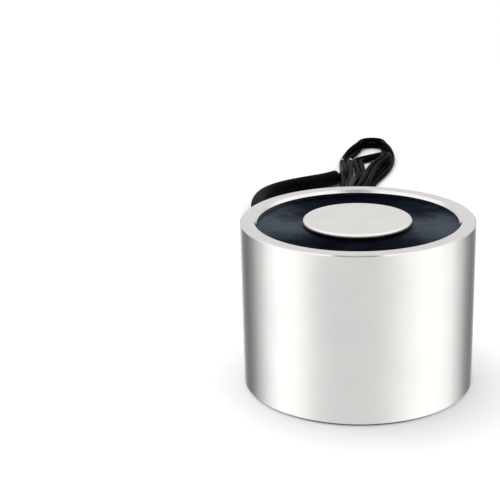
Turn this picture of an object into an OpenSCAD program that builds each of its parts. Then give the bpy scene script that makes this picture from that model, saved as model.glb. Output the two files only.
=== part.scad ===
// Round holding electromagnet: a steel pot with a centre pole, a potted coil and a two-wire lead.
// Millimetres. The mounting face lies on z = 0, the holding face looks up and the lead leaves at +Y.

/* [Pot] */
// Outside diameter of the pot
pot_d = 30; // [28:0.5:40]
// Height from the mounting face to the holding face
pot_h = 22; // [18:0.5:30]
// Thickness of the side wall
wall_t = 2.1; // [1.6:0.1:2.4]
// Thickness of the base
base_t = 4; // [3:0.1:6]
// Chamfer on the outer edge of the rim
rim_outer_chamfer = 0.15; // [0.1:0.05:0.8]
// Chamfer on the inner edge of the rim
rim_inner_chamfer = 0.35; // [0.1:0.05:0.8]
// Chamfer round the mounting face
base_chamfer = 0.3; // [0.1:0.05:1]
// Chamfer round the mouth of the lead's exit
exit_chamfer = 0.3; // [0.1:0.05:0.5]

/* [Core] */
// Diameter of the centre pole
pole_d = 14; // [11:0.5:15]
// Rounding of the pole's top edge
pole_round = 0.3; // [0.1:0.05:0.8]
// Diameter of the spigot that is pressed into the base
spigot_d = 9; // [7:0.5:10]
// Chamfer on the end of the spigot
spigot_chamfer = 0.15; // [0.05:0.05:0.4]
// Tapping diameter of the fixing thread
thread_d = 3.3; // [2.5:0.1:4.2]
// Depth of the fixing thread
thread_depth = 8; // [5:0.5:12]
// Width of the countersink round the fixing thread
thread_countersink = 0.5; // [0.2:0.1:1]

/* [Coil] */
// Wall of the bobbin's tube
bobbin_wall = 0.7; // [0.5:0.1:1]
// Thickness of the bobbin's flanges
flange_t = 0.8; // [0.5:0.1:1.2]
// Radial gap between the bobbin's flanges and the pot
flange_gap = 0.4; // [0.2:0.1:0.8]
// Width of the slot in the lower flange for the start of the winding
start_slot_w = 0.8; // [0.6:0.1:1.2]
// Radial room between the tape and the pot for the lead and its splices
lead_room = 2.4; // [2:0.1:3]
// Diameter of the enamelled wire of the winding
coil_wire_d = 0.45; // [0.35:0.05:0.5]
// Thickness of the tape over the winding
tape_t = 0.2; // [0.1:0.05:0.3]
// Depth of the potting resin below the holding face
resin_recess = 1; // [0.5:0.1:2]
// Thickness of the resin over the bobbin
resin_cover = 1.2; // [0.8:0.1:3]
// Height that the resin creeps up the steel
resin_creep = 0.25; // [0.1:0.05:0.4]

/* [Lead] */
// Outside diameter of one lead wire
wire_od = 1.2; // [1:0.05:1.3]
// Diameter of the conductor in one lead wire
conductor_d = 0.6; // [0.4:0.05:0.8]
// Wall of the sleeve over both wires
sleeve_wall = 0.2; // [0.15:0.05:0.4]
// Wall of the small sleeve over each splice
splice_wall = 0.2; // [0.15:0.05:0.25]
// Length of a splice sleeve
splice_len = 7; // [5:0.5:9]
// Diameter of a soldered joint
solder_d = 0.9; // [0.6:0.05:1]
// Length of a soldered joint
solder_len = 3; // [2:0.5:4]
// Thickness of the tie round the hank
tie_t = 0.5; // [0.3:0.1:0.8]
// Width of the tie
tie_w = 2; // [1.5:0.1:3]
// Length of the tie's twisted end
tie_tail_len = 7; // [4:0.5:10]

/* [Hidden] */
$fn = 96;
// How far a cutter runs past the face that it cuts
past = 1;
// Sides of the swept tubes
wire_sides = 8;
sleeve_sides = 12;

// Fits
press_gap = 0.01;
bobbin_fit = 0.1;
conductor_gap = 0.02;
pair_gap = 0.04;
sleeve_slack = 0.2;
exit_gap = 0.1;
splice_gap = 0.1;
solder_gap = 0.05;
potting_gap = 0.05;
tie_gap = 0.05;
tail_gap = 0.1;

// Pot and core
pot_r = pot_d / 2;
cavity_r = pot_r - wall_t;
pole_r = pole_d / 2;
spigot_r = spigot_d / 2;
thread_r = thread_d / 2;

// Bobbin and winding
bobbin_bore_r = pole_r + bobbin_fit;
bobbin_tube_r = bobbin_bore_r + bobbin_wall;
flange_r = cavity_r - flange_gap;
resin_top = pot_h - resin_recess;
bobbin_top = resin_top - resin_cover;
winding_bottom = base_t + flange_t;
winding_top = bobbin_top - flange_t;
tape_r = cavity_r - lead_room;
winding_r = tape_r - tape_t;
winding_turns = floor((winding_top - winding_bottom) / coil_wire_d);
turn_pitch = (winding_top - winding_bottom) / winding_turns;
// Each turn is a flat crest between two sloping flanks
turn_groove = coil_wire_d / 4;
turn_flank = turn_pitch / 4;

// Lead where it enters the pot
wire_r = wire_od / 2;
conductor_r = conductor_d / 2;
pair_offset = wire_r + pair_gap / 2;
sleeve_bore_r = wire_od + sleeve_slack / 2;
sleeve_r = sleeve_bore_r + sleeve_wall;
exit_r = sleeve_r + exit_gap;
exit_z = base_t + flange_t + sleeve_r;
// Between the tape and the pot the wires follow an arc
lead_arc_r = (tape_r + cavity_r) / 2;
lead_turn_r = cavity_r - lead_arc_r;
splice_bore_r = wire_r + splice_gap;
splice_r = splice_bore_r + splice_wall;
solder_r = solder_d / 2;
coil_wire_r = coil_wire_d / 2;

// Angles round the pot from the lead's exit to the pieces of each splice
wire_bend_angles = [26, 17];
wire_end_angle = 36;
splice_start_angle = 24;
splice_end_angle = splice_start_angle + arc_angle(splice_len);
solder_start_angle = wire_end_angle + arc_angle(solder_gap);
solder_end_angle = solder_start_angle + arc_angle(solder_len);
end_angle = splice_end_angle + 6;
start_angle = splice_end_angle + 20;
// The start of the winding lies below it, from this radius outwards
start_z = winding_bottom - coil_wire_r;
start_r = bobbin_tube_r + coil_wire_d;
tail_slot_w = coil_wire_d + 2 * tail_gap;

// Route of the lead's sleeve: across, away from the pot, and the share of the drop to the floor
sleeve_route = [
    [0, 0, 0], [0, 5, 0], [-0.2, 10, 0.1], [-1, 16, 0.45], [-2.6, 21.6, 0.85], [-4.9, 27.2, 1],
    [-7.7, 32.8, 1], [-10.8, 38.2, 1], [-13.7, 43.6, 1], [-16.1, 49, 1], [-18, 54.4, 1], [-18.9, 60, 1],
    [-18.4, 65.4, 1], [-16.3, 69.6, 1], [-13, 72.6, 1], [-9.6, 74.8, 1], [-6.6, 76.6, 1], [-4.5, 78.8, 1]
];
// Route of the two wires from the sleeve's end into the hank
wire_route = [[-3.3, 81.3, 0.8], [-2.6, 84, 1]];
// Hank of the folded lead: its near end, its turn from +Y, and the run to its two far arcs
hank_place = [-2.5, 57];
hank_turn = -6.5;
hank_shoulder = 38;
hank_run = 54.4;
hank_near_r = 5.4;
hank_shoulder_r = 7.2;
hank_far_r = 5.5;
hank_waist = 7;
hank_waist_r = 2.5;
// Face on the left of the hank where the two wires join it
hank_entry = [[23.5, 5.1], [21.5, 2.6]];
hank_layers = 2;
hank_h = hank_layers * wire_od;
waist_near = hank_waist - tie_w / 2 - tie_gap;
waist_far = hank_waist + tie_w / 2 + tie_gap;
hank_arc_steps = 10;

function arc_angle(length) = length / lead_arc_r * 180 / PI;
function polar(angle, r, z) = [-r * sin(angle), r * cos(angle), z];
function on_arc(angle) = polar(angle, lead_arc_r, exit_z);

// Points of a circular arc in a plane
function arc(centre, r, from, to, steps) = [
    for (k = [0:steps])
        let (a = from + (to - from) * k / steps)
        centre + r * [cos(a), sin(a)]
];

// Direction in which a circle at centre is touched by a line from the point p, on the left of it
function touch_angle(centre, r, p) =
    atan2(p.y - centre.y, p.x - centre.x) - acos(r / norm(p - centre));

function unit(v) = v / norm(v);
function way(p, i) = unit(p[min(i + 1, len(p) - 1)] - p[max(i - 1, 0)]);
function left_of(t) = unit([-t.y, t.x, 0]);
function above(t) = cross(t, left_of(t));
function beside(p, d) = [for (i = [0:len(p) - 1]) p[i] + d * left_of(way(p, i))];
function ring(p, i, r, n) = [
    for (k = [0:n - 1])
        let (a = 360 * k / n)
        p[i] + r * (cos(a) * left_of(way(p, i)) + sin(a) * above(way(p, i)))
];
function rings(p, r, n) = [for (i = [0:len(p) - 1]) each ring(p, i, r, n)];
// Side faces between the rings of a swept tube whose first point has the number first
function side_faces(count, n, first) = [
    for (i = [0:count - 2], k = [0:n - 1])
        [first + i * n + k, first + i * n + n + k, first + i * n + n + (k + 1) % n, first + i * n + (k + 1) % n]
];
function reversed(list) = [for (i = [len(list) - 1:-1:0]) list[i]];

// Centre line of the sleeve and of the pair of wires in it, from the inside of the wall outwards
function lead_point(row, floor_z) =
    [row.x, pot_r + row.y, exit_z + (floor_z - exit_z) * row.z];
sleeve_line = concat([[0, cavity_r, exit_z]], [for (row = sleeve_route) lead_point(row, sleeve_r)]);
pair_line = concat(
    sleeve_line,
    [for (row = wire_route) [row.x, pot_r + row.y, sleeve_r + (wire_r - sleeve_r) * row.z]]
);

// Line of one wire from its splice to the hank; hand is 1 on the left and -1 on the right
function wire_line(hand) = concat(
    [for (angle = [wire_end_angle, each wire_bend_angles]) on_arc(hand * angle)],
    [
        for (a = [0, 45])
            [
                -hand * (pair_offset + lead_turn_r * (1 - sin(a))),
                cavity_r - lead_turn_r * cos(a),
                exit_z
            ]
    ],
    beside(pair_line, hand * pair_offset)
);

// A solid tube swept along the points p
module tube(p, r, n) {
    count = len(p);
    ends = [[for (k = [0:n - 1]) k], [for (k = [n - 1:-1:0]) (count - 1) * n + k]];
    polyhedron(rings(p, r, n), concat(side_faces(count, n, 0), ends), convexity = 10);
}

// A hollow tube swept along the points p
module hollow_tube(p, r, bore_r, n) {
    count = len(p);
    inner = count * n;
    last = (count - 1) * n;
    start = [for (k = [0:n - 1]) [k, (k + 1) % n, inner + (k + 1) % n, inner + k]];
    end = [
        for (k = [0:n - 1])
            [last + k, inner + last + k, inner + last + (k + 1) % n, last + (k + 1) % n]
    ];
    bore = [for (face = side_faces(count, n, inner)) reversed(face)];
    polyhedron(
        concat(rings(p, r, n), rings(p, bore_r, n)),
        concat(side_faces(count, n, 0), bore, start, end),
        convexity = 10
    );
}

// A piece of a ring round the pot's axis at the height of the lead, between two angles from +Y
module lead_arc(from, to) {
    translate([0, 0, exit_z])
        rotate([0, 0, 90 + from])
            rotate_extrude(angle = to - from)
                translate([lead_arc_r, 0])
                    children();
}

// Puts a shape of the left wire, hand 1, on the side of either wire
module on_side(hand) {
    mirror([hand < 0 ? 1 : 0, 0, 0]) children();
}

module along_y() {
    rotate([-90, 0, 0]) children();
}

module pot_shell() {
    color("silver")
        difference() {
            rotate_extrude()
                polygon([
                    [spigot_r + press_gap, 0],
                    [pot_r - base_chamfer, 0],
                    [pot_r, base_chamfer],
                    [pot_r, pot_h - rim_outer_chamfer],
                    [pot_r - rim_outer_chamfer, pot_h],
                    [cavity_r + rim_inner_chamfer, pot_h],
                    [cavity_r, pot_h - rim_inner_chamfer],
                    [cavity_r, base_t],
                    [spigot_r + press_gap, base_t]
                ]);
            translate([0, cavity_r - past, exit_z])
                along_y() cylinder(r = exit_r, h = wall_t + 2 * past);
            translate([0, pot_r - exit_chamfer, exit_z])
                along_y() cylinder(r1 = exit_r, r2 = exit_r + exit_chamfer + past, h = exit_chamfer + past);
        }
}

module core() {
    color("gainsboro")
        difference() {
            rotate_extrude()
                polygon(concat(
                    [
                        [0, 0],
                        [spigot_r - spigot_chamfer, 0],
                        [spigot_r, spigot_chamfer],
                        [spigot_r, base_t],
                        [pole_r, base_t]
                    ],
                    arc([pole_r - pole_round, pot_h - pole_round], pole_round, 0, 90, 6),
                    [[0, pot_h]]
                ));
            translate([0, 0, -past])
                cylinder(r = thread_r, h = thread_depth + past);
            // Cone left by the drill
            translate([0, 0, thread_depth])
                cylinder(r1 = thread_r, r2 = 0, h = thread_r * tan(31));
            translate([0, 0, -past])
                cylinder(r1 = thread_r + thread_countersink + past, r2 = thread_r, h = thread_countersink + past);
        }
}

module bobbin() {
    color("ivory")
        difference() {
            rotate_extrude()
                polygon([
                    [bobbin_bore_r, base_t],
                    [flange_r, base_t],
                    [flange_r, winding_bottom],
                    [bobbin_tube_r, winding_bottom],
                    [bobbin_tube_r, winding_top],
                    [flange_r, winding_top],
                    [flange_r, bobbin_top],
                    [bobbin_bore_r, bobbin_top]
                ]);
            rotate([0, 0, start_angle])
                translate([-start_slot_w / 2, bobbin_tube_r, base_t - past])
                    cube([start_slot_w, flange_r - bobbin_tube_r + past, flange_t + 2 * past]);
        }
}

module coil_winding() {
    color("chocolate")
        rotate_extrude()
            polygon(concat(
                [[bobbin_tube_r, winding_top], [bobbin_tube_r, winding_bottom]],
                [
                    for (k = [0:winding_turns - 1])
                        let (z = winding_bottom + k * turn_pitch)
                        each [
                            [winding_r - turn_groove, z],
                            [winding_r, z + turn_flank],
                            [winding_r, z + turn_pitch - turn_flank]
                        ]
                ],
                [[winding_r - turn_groove, winding_top]]
            ));
}

module coil_tape() {
    color("khaki")
        difference() {
            translate([0, 0, winding_bottom])
                cylinder(r = tape_r, h = winding_top - winding_bottom);
            translate([0, 0, winding_bottom - past])
                cylinder(r = winding_r, h = winding_top - winding_bottom + 2 * past);
            rotate([0, 0, -end_angle])
                translate([0, 0, exit_z])
                    along_y() cylinder(d = tail_slot_w, h = pot_r);
        }
}

// The start of the winding comes out of the slot in the lower flange and climbs to its splice
module coil_tail_start() {
    above_flange = winding_bottom + coil_wire_r + tail_gap;
    color("peru")
        tube([
            on_arc(solder_end_angle + arc_angle(solder_gap)),
            on_arc(splice_end_angle),
            polar(start_angle - 13, lead_arc_r, exit_z - 0.3),
            polar(start_angle - 6, lead_arc_r, above_flange + 0.3),
            polar(start_angle - 2.5, lead_arc_r, above_flange),
            polar(start_angle - 0.5, lead_arc_r - 0.2, above_flange - 0.15),
            polar(start_angle, lead_arc_r - 0.6, start_z + 0.25),
            polar(start_angle, tape_r, start_z),
            polar(start_angle, start_r, start_z)
        ], coil_wire_r, wire_sides);
}

// The end of the winding leaves through the tape
module coil_tail_end() {
    color("peru")
        tube([
            on_arc(-solder_end_angle - arc_angle(solder_gap)),
            on_arc(-splice_end_angle),
            on_arc(2.5 - end_angle),
            polar(0.7 - end_angle, lead_arc_r - 0.15, exit_z),
            polar(-end_angle, lead_arc_r - 0.5, exit_z),
            polar(-end_angle, winding_r, exit_z)
        ], coil_wire_r, wire_sides);
}

module splice_joint(hand) {
    color("lightgray")
        on_side(hand) lead_arc(solder_start_angle, solder_end_angle) circle(r = solder_r);
}

module splice_joint_a() {
    splice_joint(1);
}

module splice_joint_b() {
    splice_joint(-1);
}

module splice_sleeve(hand) {
    color("dimgray")
        on_side(hand)
            lead_arc(splice_start_angle, splice_end_angle)
                difference() {
                    circle(r = splice_r);
                    circle(r = splice_bore_r);
                }
}

module splice_sleeve_a() {
    splice_sleeve(1);
}

module splice_sleeve_b() {
    splice_sleeve(-1);
}

// Resin round, over and beside the wound bobbin, with a channel for the lead and its splices
module potting_resin() {
    channel_angle = end_angle + arc_angle(coil_wire_d);
    color("black")
        difference() {
            rotate_extrude()
                polygon(concat(
                    [
                        [pole_r, bobbin_top],
                        [flange_r, bobbin_top],
                        [flange_r, winding_top],
                        [tape_r, winding_top],
                        [tape_r, winding_bottom],
                        [flange_r, winding_bottom],
                        [flange_r, base_t],
                        [cavity_r, base_t]
                    ],
                    reversed(arc([cavity_r - resin_creep, resin_top + resin_creep], resin_creep, 270, 360, 4)),
                    reversed(arc([pole_r + resin_creep, resin_top + resin_creep], resin_creep, 180, 270, 4))
                ));
            lead_arc(-channel_angle, channel_angle) circle(r = splice_r + potting_gap);
            translate([0, tape_r, exit_z])
                along_y() cylinder(r = sleeve_r, h = cavity_r - tape_r + past);
            // Ways of the winding's two ends
            rotate([0, 0, 90 + splice_end_angle])
                rotate_extrude(angle = start_angle - splice_end_angle + arc_angle(tail_slot_w / 2))
                    translate([lead_arc_r - tail_slot_w / 2, winding_bottom - past])
                        square([tail_slot_w, exit_z + coil_wire_r + tail_gap - winding_bottom + past]);
            rotate([0, 0, start_angle])
                translate([-tail_slot_w / 2, tape_r - past, winding_bottom - past])
                    cube([tail_slot_w, lead_arc_r - tape_r + past, exit_z - winding_bottom + past]);
            rotate([0, 0, -end_angle])
                translate([0, tape_r - past, exit_z])
                    along_y() cylinder(d = tail_slot_w, h = lead_arc_r - tape_r + past);
        }
}

module lead_sleeve() {
    color("black") hollow_tube(sleeve_line, sleeve_r, sleeve_bore_r, sleeve_sides);
}

module lead_conductor(hand) {
    color("peru")
        difference() {
            tube(wire_line(hand), conductor_r, wire_sides);
            hank_body();
        }
}

module lead_conductor_a() {
    lead_conductor(1);
}

module lead_conductor_b() {
    lead_conductor(-1);
}

// Insulation of one wire
module lead_wire(hand) {
    color("black")
        difference() {
            hollow_tube(wire_line(hand), wire_r, conductor_r + conductor_gap, wire_sides);
            hank_body();
        }
}

module lead_wire_a() {
    lead_wire(1);
}

module lead_wire_b() {
    lead_wire(-1);
}

// Puts a shape of the hank, drawn along x from the near end, where the hank lies
module at_hank() {
    translate([hank_place.x, pot_r + hank_place.y, 0])
        rotate([0, 0, 90 + hank_turn])
            children();
}

// One side of the hank's outline, from its far end through two arcs to the given points
function hank_side(points) =
    let (
        far_angle = 90 - asin((hank_shoulder_r - hank_far_r) / (hank_run - hank_shoulder)),
        shoulder = [hank_shoulder, 0]
    )
    concat(
        arc([hank_run, 0], hank_far_r, 0, far_angle, hank_arc_steps),
        arc(shoulder, hank_shoulder_r, far_angle, touch_angle(shoulder, hank_shoulder_r, points[0]), 2),
        points
    );

// Outer shape of the hank: two round ends, a waist under the tie and the face where the wires join
module hank_body() {
    waist = [[waist_far, hank_waist_r], [waist_near, hank_waist_r]];
    near_angle = -touch_angle([0, 0], hank_near_r, [waist_near, -hank_waist_r]);
    left = hank_side(concat(hank_entry, waist));
    right = hank_side(waist);
    outline = concat(
        left,
        arc([0, 0], hank_near_r, near_angle, 360 - near_angle, 2 * hank_arc_steps),
        [for (i = [len(right) - 1:-1:1]) [right[i].x, -right[i].y]]
    );
    at_hank() linear_extrude(hank_h) polygon(outline);
}

module lead_hank() {
    color("black")
        difference() {
            hank_body();
            at_hank()
                translate([waist_near, -hank_waist_r - past, -past])
                    cube([waist_far - waist_near, 2 * (hank_waist_r + past), tie_t + tie_gap + past]);
        }
}

// Outline of a rectangle with round corners, centred on x and standing on y = 0
function round_box(w, h, r) = concat(
    arc([w / 2 - r, r], r, -90, 0, 4),
    arc([w / 2 - r, h - r], r, 0, 90, 4),
    arc([r - w / 2, h - r], r, 90, 180, 4),
    arc([r - w / 2, r], r, 180, 270, 4)
);

// Band round the hank's waist, with its twisted end lying on the hank
module lead_tie() {
    inner_w = 2 * (hank_waist_r + tie_gap);
    inner_h = hank_h + tie_gap - tie_t;
    color("black")
        at_hank() {
            translate([hank_waist - tie_w / 2, 0, 0])
                rotate([90, 0, 90])
                    linear_extrude(tie_w)
                        difference() {
                            polygon(round_box(inner_w + 2 * tie_t, inner_h + 2 * tie_t, tie_t));
                            translate([-inner_w / 2, tie_t]) square([inner_w, inner_h]);
                        }
            translate([hank_waist + tie_w / 2, -tie_w / 2, hank_h + tie_gap])
                cube([tie_tail_len, tie_w, tie_t]);
        }
}

pot_shell();
core();
bobbin();
coil_winding();
coil_tape();
coil_tail_start();
coil_tail_end();
splice_joint_a();
splice_joint_b();
splice_sleeve_a();
splice_sleeve_b();
potting_resin();
lead_conductor_a();
lead_conductor_b();
lead_wire_a();
lead_wire_b();
lead_sleeve();
lead_hank();
lead_tie();
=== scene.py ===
"""Holding electromagnet: the lead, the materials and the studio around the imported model. Metres."""

from math import cos, hypot, pi, radians, sin

import bmesh
import bpy
from mathutils import Matrix, Vector


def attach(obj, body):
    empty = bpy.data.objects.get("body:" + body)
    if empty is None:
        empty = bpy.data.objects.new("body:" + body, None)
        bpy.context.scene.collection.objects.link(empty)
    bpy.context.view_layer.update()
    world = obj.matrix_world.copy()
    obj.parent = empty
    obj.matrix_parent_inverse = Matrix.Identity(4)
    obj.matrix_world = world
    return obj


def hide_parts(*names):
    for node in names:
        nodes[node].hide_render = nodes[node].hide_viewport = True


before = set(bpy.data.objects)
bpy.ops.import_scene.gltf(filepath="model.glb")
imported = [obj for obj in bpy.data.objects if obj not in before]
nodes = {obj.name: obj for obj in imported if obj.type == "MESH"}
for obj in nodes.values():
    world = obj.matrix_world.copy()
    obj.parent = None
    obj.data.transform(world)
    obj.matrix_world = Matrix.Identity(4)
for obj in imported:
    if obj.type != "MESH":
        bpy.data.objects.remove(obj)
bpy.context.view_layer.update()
scene = bpy.context.scene
scene.view_settings.view_transform = "Standard"
MM = 0.001


# Camera

CAMERA_LENS, CAMERA_SENSOR = 91.284, 36
CAMERA_NEAR, CAMERA_FAR = 0.002, 20
CAMERA_PLACE = Vector((0, -0.155345, 0.070237))
CAMERA_YAW, CAMERA_PITCH, CAMERA_ROLL = -0.08913, 0.32497, -0.02765


def make_camera():
    """Camera at the photograph's place, from its yaw, its pitch downwards and its roll."""
    ahead = Vector((
        sin(CAMERA_YAW) * cos(CAMERA_PITCH),
        cos(CAMERA_YAW) * cos(CAMERA_PITCH),
        -sin(CAMERA_PITCH),
    ))
    level = Vector((cos(CAMERA_YAW), -sin(CAMERA_YAW), 0))
    rise = level.cross(ahead)
    right = cos(CAMERA_ROLL) * level + sin(CAMERA_ROLL) * rise
    up = -sin(CAMERA_ROLL) * level + cos(CAMERA_ROLL) * rise
    data = bpy.data.cameras.new("camera")
    data.sensor_fit = "HORIZONTAL"
    data.sensor_width = CAMERA_SENSOR
    data.lens = CAMERA_LENS
    data.clip_start = CAMERA_NEAR
    data.clip_end = CAMERA_FAR
    camera = bpy.data.objects.new("camera", data)
    turn = Matrix((right, up, -ahead)).transposed().to_4x4()
    camera.matrix_world = Matrix.Translation(CAMERA_PLACE) @ turn
    scene.collection.objects.link(camera)
    scene.camera = camera


make_camera()


# Lead, in millimetres: the sleeve's route is that of the CAD model

EXIT_Z, POT_R, CAVITY_R, LEAD_ARC_R = 6.3, 15.0, 12.9, 11.7
SLEEVE_R, SLEEVE_BORE_R, WIRE_R, PAIR = 1.5, 1.3, 0.6, 0.61
HANK_X, HANK_Y, HANK_TURN = -2.5, 72.0, radians(6.5)
# Across, away from the pot, and the share of the drop to the floor
SLEEVE_ROUTE = (
    (0, 0, 0), (0, 5, 0), (-0.2, 10, 0.1), (-1, 16, 0.45), (-2.6, 21.6, 0.85), (-4.9, 27.2, 1),
    (-7.7, 32.8, 1), (-10.8, 38.2, 1), (-13.7, 43.6, 1), (-16.1, 49, 1), (-18, 54.4, 1), (-18.9, 60, 1),
    (-18.4, 65.4, 1), (-16.3, 69.6, 1), (-13, 72.6, 1), (-9.6, 74.8, 1), (-6.6, 76.6, 1), (-4.5, 78.8, 1),
)
WIRE_ROUTE = ((-3.3, 81.3, 0.8), (-2.6, 84, 1))
# Heights of the two layers of wires in the hank
LOWER, UPPER = 0.6, 1.83
# Angles round the coil on the way from a splice to the wall, and round the bend into the wall
SPLICE_ANGLES, EXIT_ANGLES = (36, 26, 17), (0, 45)


def at_hank(u, v):
    """A point of the hank, u along it from its near end and v to its right, on the floor."""
    return (
        HANK_X + u * sin(HANK_TURN) + v * cos(HANK_TURN),
        HANK_Y + u * cos(HANK_TURN) - v * sin(HANK_TURN),
    )


def bend(u, v, r, start, end, steps):
    """Points of an arc in the hank; the angle runs from along it towards its right."""
    angles = [radians(start + (end - start) * k / steps) for k in range(steps + 1)]
    return [(u + r * cos(a), v + r * sin(a)) for a in angles]


def layer(points, z):
    """Points of the pair, flat at one height."""
    return [(u, v, z, 0) for u, v in points]


def on_edge(points):
    """Points of the pair on the floor, turned by an angle so that one wire rises over the other."""
    return [(u, v, LOWER + PAIR * sin(radians(turn)), radians(turn)) for u, v, turn in points]


def hank_points():
    """Points of the pair through the hank: along, across, height and turn."""
    near = [(8.5, 1.2), (7, 1.25), (5.2, 2.1), (3.4, 3.0)]
    near += bend(0, 0, 4.2, 62, 298, 14)
    near += [(3.4, -3.0), (5.2, -2.1), (7, -1.25), (8.5, -1.2)]
    outward = [(29.5, -3.3), (32.4, -3.75), (35.5, -4.25), (38.2, -4.4), (40.4, -4.3)]
    # At the far tip the pair stands on edge
    tip = [(42.4, -4.0, 18), (44.4, -3.6, 42), (46.4, -3.12, 66), (48.2, -2.72, 85)]
    tip += [(u, v, 90) for u, v in bend(50, 0, 2.52, -85, 80, 10)]
    tip += [(48.6, 2.9, 82), (46.8, 3.55, 62), (44.8, 4.1, 40), (42.8, 4.52, 18)]
    back = [
        (40.8, 4.8), (38, 4.95), (35, 4.9), (31, 4.62), (28, 4.15), (25.2, 3.55),
        (22.2, 2.95), (19.6, 2.7), (17.5, 2.4), (15, 2.05), (12.5, 1.6), (10.5, 1.35),
    ]
    inner_out = [
        (11, -1), (15, -0.42), (18, 0), (21, 0.26), (23.5, 0.32), (26, 0.24), (28.2, 0),
        (30.7, -0.46), (32.7, -0.82), (34.8, -1.2),
    ]
    # The inner loop starts on the floor and comes back on top of the outer one
    inner_loop = bend(37.5, 1.35, 3.05, -103, 100, 12)
    climb = (LOWER, LOWER, LOWER, LOWER, 0.64, 0.78, 1.0, 1.3, 1.62, 1.84, 1.9, 1.9, 1.89)
    inner_back = [
        (34.8, 3.8, 1.88), (33, 3.3, 1.88), (31.2, 2.9, 1.86), (29.2, 2.6, 1.84), (27, 2.4, 1.84),
        (24.7, 2.3, 1.85), (22.5, 2.22, 1.87), (20.5, 2.2, 1.87), (18.5, 2.2, 1.87), (15, 1.97, 1.85),
        (12.5, 1.6, 1.85), (10.5, 1.35, UPPER),
    ]
    return (
        layer(outward, LOWER)
        + on_edge(tip)
        + layer(back + near + inner_out, LOWER)
        + [(u, v, z, 0) for (u, v), z in zip(inner_loop, climb)]
        + [(u, v, z, 0) for u, v, z in inner_back]
        + layer(near, UPPER)
    )


# Where the two wires part and end, along, across and height
TAILS = {
    1: (
        (11, -1.85, UPPER), (13.5, -1.98, 1.8), (16, -2.22, 1.76), (18.5, -2.44, 1.72), (20.5, -2.57, 1.78),
        (22.3, -2.64, 2.0), (24.3, -2.85, 2.12), (26.3, -3.2, 2.02), (28.5, -3.6, 1.92),
        (30.5, -3.98, 1.88), (32.3, -4.35, 1.86),
    ),
    -1: (
        (11, -0.62, UPPER), (13.5, -0.7, UPPER), (16, -0.92, UPPER), (18.5, -1.2, UPPER), (21, -1.4, UPPER),
        (23.5, -1.6, UPPER), (26, -1.85, 1.8), (28.5, -2.15, 1.77), (31, -2.45, 1.76), (33, -2.7, 1.75),
    ),
}


def spline(points, steps):
    """Uniform cubic B-spline through the first and the last point."""
    p = [points[0]] * 2 + list(points) + [points[-1]] * 2
    out = []
    for i in range(len(p) - 3):
        for k in range(steps):
            t = k / steps
            weights = (
                (1 - t) ** 3 / 6,
                (3 * t ** 3 - 6 * t ** 2 + 4) / 6,
                (-3 * t ** 3 + 3 * t ** 2 + 3 * t + 1) / 6,
                t ** 3 / 6,
            )
            out.append(tuple(sum(w * q[c] for w, q in zip(weights, p[i:i + 4])) for c in range(3)))
    out.append(tuple(points[-1]))
    return out


def in_metres(points):
    return [Vector(p) * MM for p in points]


def sleeve_points():
    """The sleeve's line from the inside of the wall to its end."""
    points = [(0, CAVITY_R, EXIT_Z)]
    points += [(x, POT_R + y, EXIT_Z + (SLEEVE_R - EXIT_Z) * drop) for x, y, drop in SLEEVE_ROUTE]
    return points


def pair_points():
    """The pair's line from the wall to the end of the hank, with its turn at each point."""
    points = [(x, y, z, 0) for x, y, z in sleeve_points()]
    points += [(x, POT_R + y, SLEEVE_R + (WIRE_R - SLEEVE_R) * drop, 0) for x, y, drop in WIRE_ROUTE]
    points += [at_hank(u, v) + (z, turn) for u, v, z, turn in hank_points()]
    return points


def wire_points(hand):
    """Line of one wire from its splice to its bare end; hand is 1 on the left and -1 on the right."""
    points = []
    for angle in SPLICE_ANGLES:
        a = radians(angle) * hand
        points.append((-LEAD_ARC_R * sin(a), LEAD_ARC_R * cos(a), EXIT_Z))
    turn_r = CAVITY_R - LEAD_ARC_R
    for angle in EXIT_ANGLES:
        a = radians(angle)
        points.append((-hand * (PAIR + turn_r * (1 - sin(a))), CAVITY_R - turn_r * cos(a), EXIT_Z))
    pair = pair_points()
    for i, (x, y, z, turn) in enumerate(pair):
        before, after = pair[max(i - 1, 0)], pair[min(i + 1, len(pair) - 1)]
        dx, dy = after[0] - before[0], after[1] - before[1]
        side = hand * PAIR * cos(turn) / hypot(dx, dy)
        points.append((x - dy * side, y + dx * side, z + hand * PAIR * sin(turn)))
    points += [at_hank(u, v) + (z,) for u, v, z in TAILS[hand]]
    return points


# Swept meshes: steps of a curve between two of its points, and sides of its cross-section

WIRE_STEPS, WIRE_SIDES = 4, 14
SLEEVE_STEPS, SLEEVE_SIDES = 5, 28
# Waviness of the sleeve: size, rate along it and shift; its first and last rings stay plain
SLEEVE_WAVES = ((0.004, 0.9, 0), (0.008, 0.37, 1))
SLEEVE_SHRINK, SLEEVE_PLAIN_START, SLEEVE_PLAIN_END = 0.02, 12, 2


def along(points):
    """Points with a direction and two cross directions that turn as little as possible."""
    out = []
    side = None
    for i, p in enumerate(points):
        ahead = (points[min(i + 1, len(points) - 1)] - points[max(i - 1, 0)]).normalized()
        if side is None:
            side = ahead.cross(Vector((0, 0, 1))).normalized()
        side = (side - ahead * side.dot(ahead)).normalized()
        out.append((p, ahead, side, side.cross(ahead)))
    return out


def mesh_object(name, bm, smooth=True):
    bmesh.ops.recalc_face_normals(bm, faces=bm.faces)
    data = bpy.data.meshes.new(name)
    bm.to_mesh(data)
    bm.free()
    for face in data.polygons:
        face.use_smooth = smooth
    piece = bpy.data.objects.new(name, data)
    scene.collection.objects.link(piece)
    return piece


def add_ring(bm, centre, side, up, r, sides):
    angles = [2 * pi * k / sides for k in range(sides)]
    return [bm.verts.new(centre + r * (cos(a) * side + sin(a) * up)) for a in angles]


def bridge(bm, a, b):
    """Faces between two rings of the same length."""
    n = len(a)
    for k in range(n):
        bm.faces.new((a[k], a[(k + 1) % n], b[(k + 1) % n], b[k]))


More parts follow.
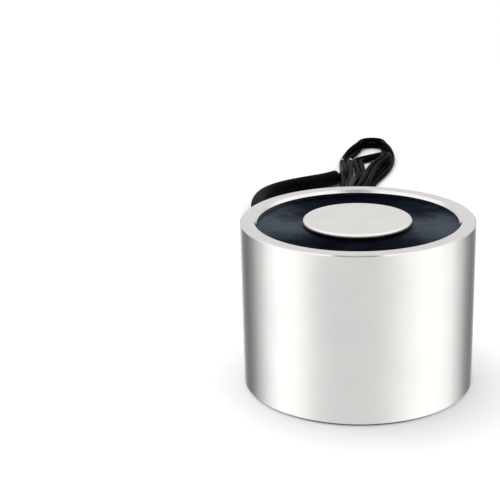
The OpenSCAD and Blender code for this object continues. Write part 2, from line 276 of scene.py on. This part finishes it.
def add_rod(bm, points, r, sides):
    """A round rod with closed ends along the points."""
    rings = [add_ring(bm, p, side, up, r, sides) for p, _, side, up in along(points)]
    for a, b in zip(rings, rings[1:]):
        bridge(bm, a, b)
    bm.faces.new(list(reversed(rings[0])))
    bm.faces.new(rings[-1])


def make_wire(name, hand):
    """One insulated wire, and the line that it follows."""
    points = in_metres(spline(wire_points(hand), WIRE_STEPS))
    bm = bmesh.new()
    add_rod(bm, points, WIRE_R * MM, WIRE_SIDES)
    return mesh_object(name, bm), points


def make_sleeve():
    """Hollow sleeve over the pair, with round lips and a slight waviness of its shrunk wall."""
    line = along(in_metres(spline(sleeve_points(), SLEEVE_STEPS)))
    bm = bmesh.new()
    lip = (SLEEVE_R - SLEEVE_BORE_R) / 2
    middle = SLEEVE_R - lip
    rings = []

    def ring(item, r, shift):
        p, ahead, side, up = item
        rings.append(add_ring(bm, p + ahead * shift * MM, side, up, r * MM, SLEEVE_SIDES))

    last = len(line) - 1
    for i, item in enumerate(line):
        r = SLEEVE_R - SLEEVE_SHRINK
        if SLEEVE_PLAIN_START < i < last - SLEEVE_PLAIN_END:
            r += sum(size * sin(i * rate + shift) for size, rate, shift in SLEEVE_WAVES)
        ring(item, r, 0)
    for a in (45, 90, 135):
        ring(line[last], middle + lip * cos(radians(a)), lip * sin(radians(a)))
    for item in reversed(line):
        ring(item, SLEEVE_BORE_R, 0)
    for a in (135, 90, 45):
        ring(line[0], middle + lip * cos(radians(a)), -lip * sin(radians(a)))
    for i, r in enumerate(rings):
        bridge(bm, r, rings[(i + 1) % len(rings)])
    return mesh_object("sleeve", bm)


# Bare ends: length, strand, strands round the middle one, their twist in turns, and how they fan out
BARE_LENGTH, BARE_INSIDE = 2.6, 0.6
STRAND_R, STRAND_SIDES, STRAND_STEPS = 0.115, 8, 26
STRANDS_ROUND, STRAND_TWIST, STRAND_SPACING = 6, 0.9, 2.02
FAN_START, FAN_RATE, UNEVEN = 0.7, 0.22, 0.12


def make_bare_end(name, points):
    """Twisted tinned strands that stick out of the insulation."""
    tip = points[-1]
    ahead = (points[-1] - points[-3]).normalized()
    side = ahead.cross(Vector((0, 0, 1))).normalized()
    up = side.cross(ahead)
    bm = bmesh.new()
    for strand in range(STRANDS_ROUND + 1):
        r = 0 if strand == STRANDS_ROUND else STRAND_SPACING * STRAND_R
        # The strands end at slightly different lengths
        length = BARE_LENGTH + UNEVEN * ((strand * 5) % 7 - 3)
        rows = []
        for k in range(STRAND_STEPS + 1):
            s = k / STRAND_STEPS
            a = 2 * pi * (strand / STRANDS_ROUND + STRAND_TWIST * s)
            fan = r * (1 + FAN_RATE * max(0, s - FAN_START))
            reach = length * s - BARE_INSIDE
            rows.append(tip + (ahead * reach + side * fan * cos(a) + up * fan * sin(a)) * MM)
        add_rod(bm, rows, STRAND_R * MM, STRAND_SIDES)
    return mesh_object(name, bm)


# Tie: a flat strip with a wire in its middle, in millimetres
TIE_U, TIE_W, TIE_T = 7.0, 2.0, 0.42
TIE_INNER_W, TIE_INNER_H, TIE_CORNER = 5.0, 2.0, 0.45
TIE_CORNER_STEPS, TIE_FLOOR_GAP = 6, 0.02
# Its two ends twisted round each other: length, start, height over the loop, strip, turns and offset
TWIST_LENGTH, TWIST_START, TWIST_RISE = 7.7, 0.3, 0.5
TWIST_W, TWIST_T, TWIST_TURNS, TWIST_OFFSET, TWIST_STEPS = 1.15, 0.36, 2.2, 0.17, 44
STRIP = ((-0.5, 0.25), (-0.28, 0.45), (-0.12, 0.85), (0, 1), (0.12, 0.85), (0.28, 0.45), (0.5, 0.25))


def strip_outline(width, thickness):
    """Cross-section of the strip, thick over its wire and thin at its edges."""
    top = [(x * width, y * thickness / 2) for x, y in STRIP]
    return top + [(x, -y) for x, y in reversed(top)]


def tie_point(u, v, z):
    return Vector((*at_hank(u, v), z)) * MM


def make_tie():
    """Loop of the strip round the hank, and its twisted ends."""
    bm = bmesh.new()
    outline = strip_outline(TIE_W, TIE_T)
    half_w = TIE_INNER_W / 2 + TIE_T / 2
    half_h = TIE_INNER_H / 2 + TIE_T / 2
    straight_w = half_w - TIE_CORNER
    straight_h = half_h - TIE_CORNER
    centre_z = half_h + TIE_T / 2 + TIE_FLOOR_GAP
    path = []
    for quarter, (sx, sz) in enumerate(((1, 1), (-1, 1), (-1, -1), (1, -1))):
        for k in range(TIE_CORNER_STEPS + 1):
            a = pi / 2 * (quarter + k / TIE_CORNER_STEPS)
            v = sx * straight_w + TIE_CORNER * cos(a)
            z = sz * straight_h + TIE_CORNER * sin(a)
            path.append((v, z, cos(a), sin(a)))
    rings = []
    for v, z, nv, nz in path:
        rings.append([
            bm.verts.new(tie_point(TIE_U + along_u, v + nv * out, centre_z + z + nz * out))
            for along_u, out in outline
        ])
    for i, ring in enumerate(rings):
        bridge(bm, ring, rings[(i + 1) % len(rings)])
    # Two strips twisted round each other, lying on the hank
    narrow = strip_outline(TWIST_W, TWIST_T)
    top = 2 * half_h + TIE_T + TWIST_RISE
    for turn in (0, pi):
        rings = []
        for k in range(TWIST_STEPS + 1):
            s = k / TWIST_STEPS
            a = turn + 2 * pi * TWIST_TURNS * s
            u = TIE_U + TWIST_START + TWIST_LENGTH * s
            ring = []
            for x, y in narrow:
                v = (y + TWIST_OFFSET) * cos(a) - x * sin(a)
                z = (y + TWIST_OFFSET) * sin(a) + x * cos(a)
                ring.append(bm.verts.new(tie_point(u, v, top + z)))
            rings.append(ring)
        for a, b in zip(rings, rings[1:]):
            bridge(bm, a, b)
        bm.faces.new(list(reversed(rings[0])))
        bm.faces.new(rings[-1])
    return mesh_object("tie", bm)


wire_a, line_a = make_wire("wire_a", 1)
wire_b, line_b = make_wire("wire_b", -1)
sleeve = make_sleeve()
tie = make_tie()
bare_a = make_bare_end("bare_end_a", line_a)
bare_b = make_bare_end("bare_end_b", line_b)
for piece in (wire_a, wire_b, sleeve, tie, bare_a, bare_b):
    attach(piece, "root")
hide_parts("lead_wire_a", "lead_conductor_a")
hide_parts("lead_wire_b", "lead_conductor_b", "lead_hank")
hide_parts("lead_sleeve")
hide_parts("lead_tie")


# Materials

class Graph:
    """Short calls for the nodes of a material or a world."""

    def __init__(self, block):
        block.use_nodes = True
        self.tree = block.node_tree

    def add(self, kind, **values):
        node = self.tree.nodes.new(kind)
        for key, value in values.items():
            setattr(node, key, value)
        return node

    def link(self, source, target):
        self.tree.links.new(source, target)

    def math(self, operation, a, b=None):
        node = self.add("ShaderNodeMath", operation=operation)
        for socket, value in zip(node.inputs, (a, b)):
            if value is None:
                continue
            if isinstance(value, (int, float)):
                socket.default_value = value
            else:
                self.link(value, socket)
        return node.outputs[0]

    def ramp(self, source, *stops):
        node = self.add("ShaderNodeValToRGB")
        elements = node.color_ramp.elements
        while len(elements) < len(stops):
            elements.new(0.5)
        for element, (place, colour) in zip(elements, stops):
            element.position = place
            element.color = (*colour, 1) if isinstance(colour, tuple) else (colour, colour, colour, 1)
        self.link(source, node.inputs[0])
        return node.outputs["Color"]

    def span(self, source, low, high, start=0, end=1):
        """The source's start to end stretched to low to high."""
        node = self.add("ShaderNodeMapRange")
        for key, value in (("From Min", start), ("From Max", end), ("To Min", low), ("To Max", high)):
            node.inputs[key].default_value = value
        self.link(source, node.inputs["Value"])
        return node.outputs["Result"]

    def parts(self, vector):
        node = self.add("ShaderNodeSeparateXYZ")
        self.link(vector, node.inputs[0])
        return node.outputs

    def radius(self, x, y):
        """Distance from the upright axis."""
        squares = self.math("ADD", self.math("MULTIPLY", x, x), self.math("MULTIPLY", y, y))
        return self.math("SQRT", squares)

    def most(self, first, *others):
        """The largest of several values."""
        for other in others:
            first = self.math("MAXIMUM", first, other)
        return first


class Look(Graph):
    """A node material round one principled shader."""

    def __init__(self, name, colour, metallic=0.0, roughness=0.5, specular=0.5):
        self.material = bpy.data.materials.new(name)
        super().__init__(self.material)
        self.shader = next(n for n in self.tree.nodes if n.type == "BSDF_PRINCIPLED")
        self.shader.inputs["Base Color"].default_value = (*colour, 1)
        self.shader.inputs["Metallic"].default_value = metallic
        self.shader.inputs["Roughness"].default_value = roughness
        self.shader.inputs["Specular IOR Level"].default_value = specular
        self.object = self.add("ShaderNodeTexCoord").outputs["Object"]

    def noise(self, scale, detail=3.0, vector=None, rough=0.55):
        node = self.add("ShaderNodeTexNoise")
        node.inputs["Scale"].default_value = scale
        node.inputs["Detail"].default_value = detail
        node.inputs["Roughness"].default_value = rough
        self.link(vector or self.object, node.inputs["Vector"])
        return node.outputs["Fac"]

    def colour(self, source):
        self.link(source, self.shader.inputs["Base Color"])

    def roughness(self, source):
        self.link(source, self.shader.inputs["Roughness"])

    def bump(self, source, strength, depth):
        node = self.add("ShaderNodeBump")
        node.inputs["Strength"].default_value = strength
        node.inputs["Distance"].default_value = depth
        self.link(source, node.inputs["Height"])
        self.link(node.outputs["Normal"], self.shader.inputs["Normal"])

    def turned(self):
        """Coordinates of a turned surface: radius, nothing, height."""
        x, y, z = self.parts(self.object)
        join = self.add("ShaderNodeCombineXYZ")
        self.link(self.radius(x, y), join.inputs[0])
        self.link(z, join.inputs[2])
        return join.outputs[0]


def polished_nickel():
    """Plating of the pot, with turning marks round its axis."""
    look = Look("polished_nickel", (0.67, 0.66, 0.645), 1, 0.13)
    marks = look.noise(7000, 2, look.turned())
    cloud = look.noise(180, 3)
    look.colour(look.ramp(cloud, (0.3, (0.72, 0.711, 0.697)), (0.7, (0.76, 0.751, 0.733))))
    look.roughness(look.span(marks, 0.09, 0.19))
    look.bump(marks, 0.09, 0.00002)
    return look.material


# The side of the pole is painted dark between these heights, in metres: painted shade under the pole's top
# edge
SHADE_BAND_LOW, SHADE_BAND_HIGH = (0.019, 0.0195), (0.02155, 0.0217)
SHADE_BAND_COLOUR = (0.03, 0.03, 0.034)
SATIN_DARK, SATIN_LIGHT = (0.742, 0.726, 0.7), (0.797, 0.783, 0.759)


def satin_nickel():
    """Satin finish of the core and of its thread."""
    look = Look("satin_nickel", (0.70, 0.685, 0.66), 1, 0.3)
    grain = look.noise(9000, 3)
    marks = look.noise(5200, 2, look.turned())
    cloud = look.noise(260, 4)
    _, _, z = look.parts(look.object)
    # Painted shade: a dark band round the side of the pole, under its top edge
    unshaded = look.most(look.span(z, 1, 0, *SHADE_BAND_LOW), look.span(z, 0, 1, *SHADE_BAND_HIGH))
    share = look.math("MULTIPLY", cloud, unshaded)
    stops = ((0, SHADE_BAND_COLOUR), (0.2, SATIN_DARK), (0.3, SATIN_DARK), (0.7, SATIN_LIGHT))
    look.colour(look.ramp(share, *stops))
    look.roughness(look.span(grain, 0.24, 0.36))
    look.bump(look.math("ADD", grain, marks), 0.1, 0.00002)
    return look.material


def potting_resin():
    """Cloudy resin, with a painted sheen that makes it paler on two sides."""
    look = Look("potting_resin", (0.012, 0.014, 0.02), 0, 0.5, 0)
    cloud = look.noise(210, 5, rough=0.62)
    specks = look.noise(2600, 3)
    x, y, _ = look.parts(look.object)
    # Painted sheen: the colour grows paler with the angle from the front, as if lit from both sides
    painted_sheen_angle = look.math("ABSOLUTE", look.math("ARCTAN2", x, look.math("ABSOLUTE", y)))
    share = look.math("ADD", look.span(painted_sheen_angle, 0, 0.85, 0.4, 1.45), look.span(cloud, -0.12, 0.25, 0.3, 0.7))
    look.colour(look.ramp(
        share, (0, (0.004, 0.005, 0.01)), (0.4, (0.012, 0.016, 0.026)), (0.9, (0.082, 0.098, 0.118)),
    ))
    look.bump(look.math("ADD", look.math("MULTIPLY", cloud, 2), specks), 0.12, 0.00004)
    return look.material


def wire_insulation():
    """Smooth black insulation."""
    look = Look("wire_insulation", (0.003, 0.003, 0.004), 0, 0.2, 0.004)
    streak = look.noise(500, 2)
    look.colour(look.ramp(streak, (0.3, (0.002, 0.002, 0.0025)), (0.7, (0.004, 0.004, 0.005))))
    look.roughness(look.span(streak, 0.14, 0.24, 0.3, 0.7))
    look.bump(look.noise(900, 2), 0.03, 0.00003)
    return look.material


def black_sleeving():
    """Black sleeving with a faint weave."""
    look = Look("black_sleeving", (0.007, 0.007, 0.008), 0, 0.4, 0.012)
    weave = look.noise(1100, 3)
    look.colour(look.ramp(weave, (0.3, (0.002, 0.002, 0.0025)), (0.7, (0.005, 0.005, 0.006))))
    look.roughness(look.span(weave, 0.32, 0.46, 0.3, 0.7))
    look.bump(weave, 0.04, 0.00003)
    return look.material


def tie_plastic():
    """Grained black plastic."""
    look = Look("tie_plastic", (0.014, 0.014, 0.015), 0, 0.5)
    grain = look.noise(3000, 3)
    look.colour(look.ramp(grain, (0.3, (0.01, 0.01, 0.011)), (0.7, (0.026, 0.026, 0.028))))
    look.roughness(look.span(grain, 0.42, 0.6))
    look.bump(grain, 0.25, 0.00004)
    return look.material


def fine_metal(name, dark, light, low, high, scale):
    """Drawn wire and solder: metal with a fine grain."""
    look = Look(name, light, 1, low)
    grain = look.noise(scale, 3)
    look.colour(look.ramp(grain, (0.3, dark), (0.7, light)))
    look.roughness(look.span(grain, low, high))
    look.bump(grain, 0.12, 0.00002)
    return look.material


def moulded(name, dark, light, low, high, scale):
    """Plain plastic and tape with a fine grain."""
    look = Look(name, light, 0, low)
    grain = look.noise(scale, 4)
    look.colour(look.ramp(grain, (0.3, dark), (0.7, light)))
    look.roughness(look.span(grain, low, high))
    look.bump(grain, 0.15, 0.00003)
    return look.material


LOOKS = {
    "polished_nickel": polished_nickel(),
    "satin_nickel": satin_nickel(),
    "potting_resin": potting_resin(),
    "wire_insulation": wire_insulation(),
    "black_sleeving": black_sleeving(),
    "tie_plastic": tie_plastic(),
    "bobbin_nylon": moulded("bobbin_nylon", (0.62, 0.58, 0.48), (0.74, 0.7, 0.6), 0.35, 0.5, 1800),
    "coil_tape": moulded("coil_tape", (0.5, 0.34, 0.06), (0.66, 0.47, 0.1), 0.25, 0.4, 1200),
    "enamelled_copper": fine_metal(
        "enamelled_copper", (0.36, 0.11, 0.04), (0.52, 0.18, 0.07), 0.22, 0.34, 3000,
    ),
    "tinned_copper": fine_metal("tinned_copper", (0.56, 0.55, 0.53), (0.72, 0.71, 0.69), 0.2, 0.34, 6000),
    "solder": fine_metal("solder", (0.42, 0.42, 0.42), (0.56, 0.56, 0.56), 0.28, 0.42, 2500),
}
NODE_LOOKS = {
    "pot_shell": "polished_nickel",
    "core": "satin_nickel",
    "bobbin": "bobbin_nylon",
    "coil_winding": "enamelled_copper",
    "coil_tape": "coil_tape",
    "coil_tail_start": "enamelled_copper",
    "coil_tail_end": "enamelled_copper",
    "splice_joint_a": "solder",
    "splice_joint_b": "solder",
    "splice_sleeve_a": "black_sleeving",
    "splice_sleeve_b": "black_sleeving",
    "potting_resin": "potting_resin",
}
for name, look in NODE_LOOKS.items():
    nodes[name].data.materials.clear()
    nodes[name].data.materials.append(LOOKS[look])
PIECE_LOOKS = (
    (wire_a, "wire_insulation"), (wire_b, "wire_insulation"), (sleeve, "black_sleeving"),
    (tie, "tie_plastic"), (bare_a, "tinned_copper"), (bare_b, "tinned_copper"),
)
for piece, look in PIECE_LOOKS:
    piece.data.materials.append(LOOKS[look])


# Thread in the mounting hole

# In millimetres; the ridge is widest at its root and tapers to its crest
THREAD_R, THREAD_PITCH, THREAD_TURNS, THREAD_STEPS = 1.66, 0.7, 10, 40
THREAD_START, THREAD_RIDGE, THREAD_LEAST = 0.45, 0.22, 0.05
THREAD_ROOT, THREAD_CREST = 0.3, 0.06


def make_thread():
    """Ridge of a screw thread on the wall of the mounting hole."""
    bm = bmesh.new()
    rings = []
    for k in range(THREAD_TURNS * THREAD_STEPS + 1):
        turns = k / THREAD_STEPS
        a = 2 * pi * turns
        z = THREAD_START + THREAD_PITCH * turns
        share = min(1, turns, THREAD_TURNS - turns)
        depth = THREAD_RIDGE * max(THREAD_LEAST, share)
        section = ((0, -THREAD_ROOT), (depth, -THREAD_CREST), (depth, THREAD_CREST), (0, THREAD_ROOT))
        rings.append([
            bm.verts.new(Vector(((THREAD_R - d) * cos(a), (THREAD_R - d) * sin(a), z + dz)) * MM)
            for d, dz in section
        ])
    for a, b in zip(rings, rings[1:]):
        bridge(bm, a, b)
    bm.faces.new(list(reversed(rings[0])))
    bm.faces.new(rings[-1])
    return mesh_object("mounting_thread", bm, smooth=False)


thread = make_thread()
thread.data.materials.append(LOOKS["satin_nickel"])
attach(thread, "root")


# Studio

def new_graph(block):
    graph = Graph(block)
    graph.tree.nodes.clear()
    return graph


# Level of the low light round the object: angle from the front in degrees, to the right, and level
ROUND_LEVELS = (
    (-180, 1.13), (-164, 0.9), (-150, 0.34), (-138, 0.27), (-126, 0.43), (-112, 0.88), (-96, 1.46),
    (-84, 1.74), (-70, 1.77), (-60, 1.66), (-50, 1.45), (-40, 1.25), (-30, 1.14), (-18, 1.1), (0, 1.09),
    (18, 1.11), (30, 1.22), (40, 1.37), (50, 1.53), (60, 1.66), (70, 1.73), (86, 1.73), (102, 1.52),
    (118, 0.97), (132, 0.48), (144, 0.3), (156, 0.36), (168, 0.9), (180, 1.13),
)
LEVEL_TOP = 2.0
FILL_LEVEL = 0.55
# The low light fades to this share below these heights of the direction that is looked in
LOW_FADE, LOW_SHARE = (-0.82, -0.62), 0.15
# The light overhead: its levels at the softbox's edge and inside it, and where these begin
HIGH_LEVELS, HIGH_EDGE = (1.08, 1.6), (0.45, 0.62)
HORIZON = (-0.08, 0.08)
# Gap in the softbox over the front: half its width, its place, half its depth, its lowest height, its level
GAP_ACROSS, GAP_PLACE, GAP_DEPTH, GAP_RISE, GAP_LEVEL = (0.2, 0.3), 0.3, (0.03, 0.05), (0.6, 0.7), 0.08


def make_world():
    """White studio; reflections see its bright sides, its softbox overhead and its dark corners."""
    world = bpy.data.worlds.new("world")
    scene.world = world
    graph = new_graph(world)
    x, y, z = graph.parts(graph.add("ShaderNodeTexCoord").outputs["Generated"])
    angle = graph.math("ARCTAN2", x, graph.math("MULTIPLY", y, -1))
    stops = [((turn + 180) / 360, level / LEVEL_TOP) for turn, level in ROUND_LEVELS]
    low = graph.math("MULTIPLY", graph.ramp(graph.span(angle, 0, 1, -pi, pi), *stops), LEVEL_TOP)
    low = graph.math("MULTIPLY", low, graph.span(z, LOW_SHARE, 1, *LOW_FADE))
    high = graph.span(z, *HIGH_LEVELS, *HIGH_EDGE)
    gap_x = graph.span(graph.math("ABSOLUTE", x), 1, 0, *GAP_ACROSS)
    gap_y = graph.span(graph.math("ABSOLUTE", graph.math("ADD", y, GAP_PLACE)), 1, 0, *GAP_DEPTH)
    gap = graph.math("MULTIPLY", graph.math("MULTIPLY", gap_x, gap_y), graph.span(z, 0, 1, *GAP_RISE))
    high = graph.math("MULTIPLY", high, graph.span(gap, 1, GAP_LEVEL))
    rise = graph.span(z, 0, 1, *HORIZON)
    level = graph.math("ADD", low, graph.math("MULTIPLY", rise, graph.math("SUBTRACT", high, low)))
    path = graph.add("ShaderNodeLightPath").outputs
    shown = graph.most(path["Is Camera Ray"], path["Is Transmission Ray"])
    glossy = path["Is Glossy Ray"]
    lights = graph.math("SUBTRACT", 1, graph.most(shown, glossy))
    strength = graph.math("ADD", shown, graph.math("MULTIPLY", glossy, level))
    strength = graph.math("ADD", strength, graph.math("MULTIPLY", lights, FILL_LEVEL))
    back = graph.add("ShaderNodeBackground")
    graph.link(strength, back.inputs["Strength"])
    graph.link(back.outputs[0], graph.add("ShaderNodeOutputWorld").inputs[0])


# Floor: size and height, where its look changes round the object, how near counts as close above it,
# its paint near and far, and the share of its white that is its own
FLOOR_HALF, FLOOR_Z = 3, -0.00004
FLOOR_NEAR, FLOOR_FAR, FLOOR_CLOSE = 0.1, 0.35, 0.012
FLOOR_PAINT, FLOOR_FAR_PAINT = 0.82, 0.02
FLOOR_OWN = 0.42


def make_floor():
    """White floor that keeps the shadows: near the object part of its white is its own and part is lit."""
    material = bpy.data.materials.new("floor")
    graph = new_graph(material)
    x, y, _ = graph.parts(graph.add("ShaderNodeTexCoord").outputs["Object"])
    reach = graph.radius(x, y)
    lit = graph.add("ShaderNodeBsdfDiffuse")
    paint = graph.span(reach, FLOOR_PAINT, FLOOR_FAR_PAINT, FLOOR_NEAR, FLOOR_FAR)
    graph.link(paint, lit.inputs["Color"])
    own = graph.add("ShaderNodeEmission")
    path = graph.add("ShaderNodeLightPath").outputs
    shown = graph.most(path["Is Camera Ray"], path["Is Transmission Ray"])
    own_level = graph.span(reach, FLOOR_OWN, 1, FLOOR_NEAR, FLOOR_FAR)
    # Its own white fades where something stands close above it: painted contact shade, from ambient
    # occlusion
    near = graph.add("ShaderNodeAmbientOcclusion", samples=8)
    near.inputs["Distance"].default_value = FLOOR_CLOSE
    own_level = graph.math("MULTIPLY", own_level, near.outputs["AO"])
    graph.link(graph.math("MULTIPLY", shown, own_level), own.inputs["Strength"])
    add = graph.add("ShaderNodeAddShader")
    graph.link(lit.outputs[0], add.inputs[0])
    graph.link(own.outputs[0], add.inputs[1])
    # From below the floor is open, so that the mounting face can be seen
    below = graph.add("ShaderNodeMixShader")
    graph.link(graph.add("ShaderNodeNewGeometry").outputs["Backfacing"], below.inputs[0])
    graph.link(add.outputs[0], below.inputs[1])
    graph.link(graph.add("ShaderNodeBsdfTransparent").outputs[0], below.inputs[2])
    graph.link(below.outputs[0], graph.add("ShaderNodeOutputMaterial").inputs[0])
    signs = ((-1, -1), (1, -1), (1, 1), (-1, 1))
    corners = [(sx * FLOOR_HALF, sy * FLOOR_HALF, FLOOR_Z) for sx, sy in signs]
    data = bpy.data.meshes.new("floor")
    data.from_pydata(corners, [], [(0, 1, 2, 3)])
    data.materials.append(material)
    floor = bpy.data.objects.new("floor", data)
    floor.visible_glossy = False
    scene.collection.objects.link(floor)


LAMP_AIM = (0, 0, 0.01)
# Name, place, size and power
LAMPS = (
    ("key", (-0.1, 0.08, 0.5), 0.45, 1.15),
    ("fill", (0.4, -0.25, 0.4), 0.35, 0.25),
)


def make_lamp(name, place, size, power):
    data = bpy.data.lights.new(name, "AREA")
    data.shape = "DISK"
    data.size = size
    data.energy = power
    lamp = bpy.data.objects.new(name, data)
    lamp.location = place
    lamp.rotation_euler = (Vector(LAMP_AIM) - Vector(place)).to_track_quat("-Z", "Y").to_euler()
    lamp.visible_glossy = False
    scene.collection.objects.link(lamp)


make_world()
make_floor()
for lamp in LAMPS:
    make_lamp(*lamp)

bpy.context.view_layer.update()
